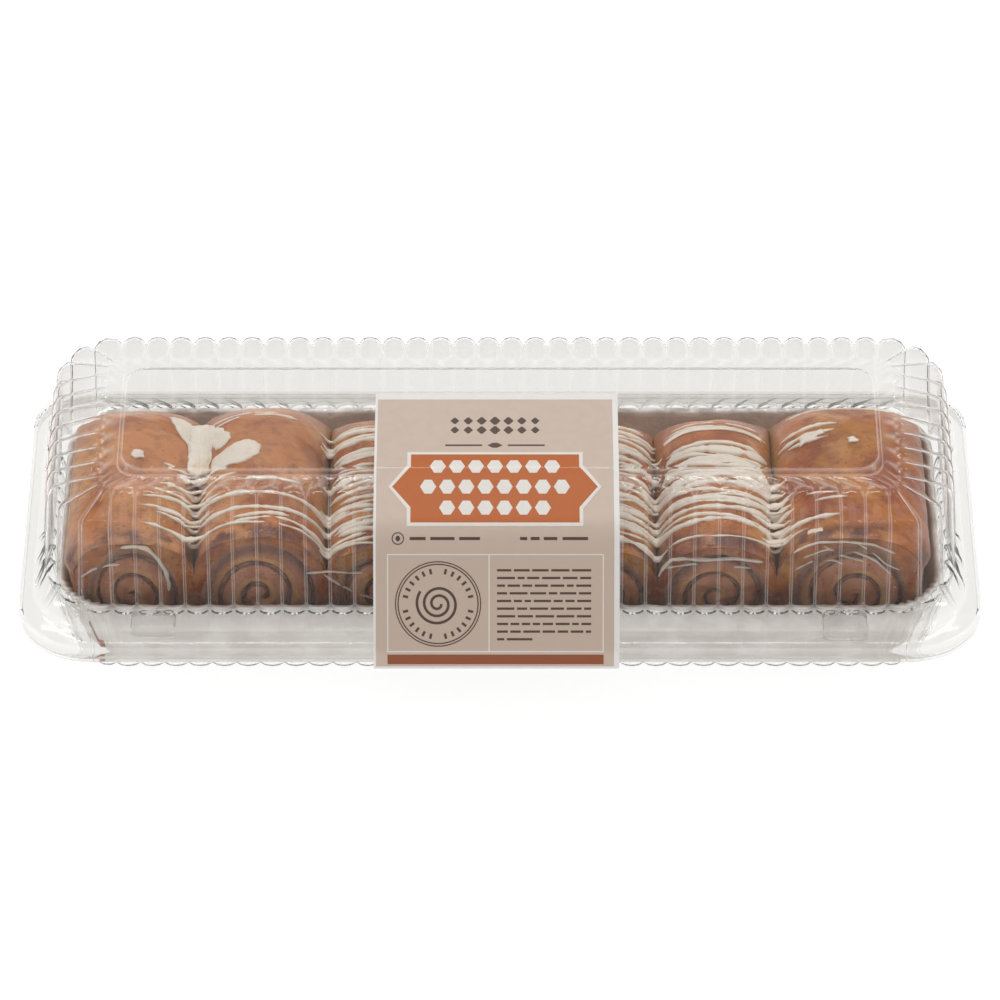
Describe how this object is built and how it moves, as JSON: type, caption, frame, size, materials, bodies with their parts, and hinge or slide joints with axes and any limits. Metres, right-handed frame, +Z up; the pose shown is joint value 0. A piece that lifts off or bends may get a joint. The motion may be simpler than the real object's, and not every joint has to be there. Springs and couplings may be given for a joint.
{
  "type": "packed cinnamon babka",
  "caption": "Long clear fluted clamshell, shut with a paper band, holding a foil tray of iced pull-apart cinnamon babka rolls.",
  "frame": {"origin": "middle of the footprint, on the surface that the pack stands on", "axes": "+X along the pack, the cut faces of the rolls and the press studs towards -Y, +Z up"},
  "size_m": [0.33, 0.141, 0.0702],
  "materials": {
    "clear_plastic": "clear thin formed plastic, glossy",
    "foil": "thin crinkled aluminium",
    "crust": "glazed golden-brown baked dough with white sugar icing",
    "cinnamon": "moist dark brown cinnamon paste",
    "band_paper": "smooth tan printed paper with a white margin"
  },
  "bodies": {
    "root": {"clamshell_base": "clear_plastic", "clamshell_lid": "clear_plastic", "foil_tray": "foil", "babka": "crust", "filling_1": "cinnamon", "filling_2": "cinnamon", "filling_3": "cinnamon", "filling_4": "cinnamon", "filling_5": "cinnamon", "filling_6": "cinnamon", "filling_7": "cinnamon", "paper_band": "band_paper"}
  },
  "joints": []
}
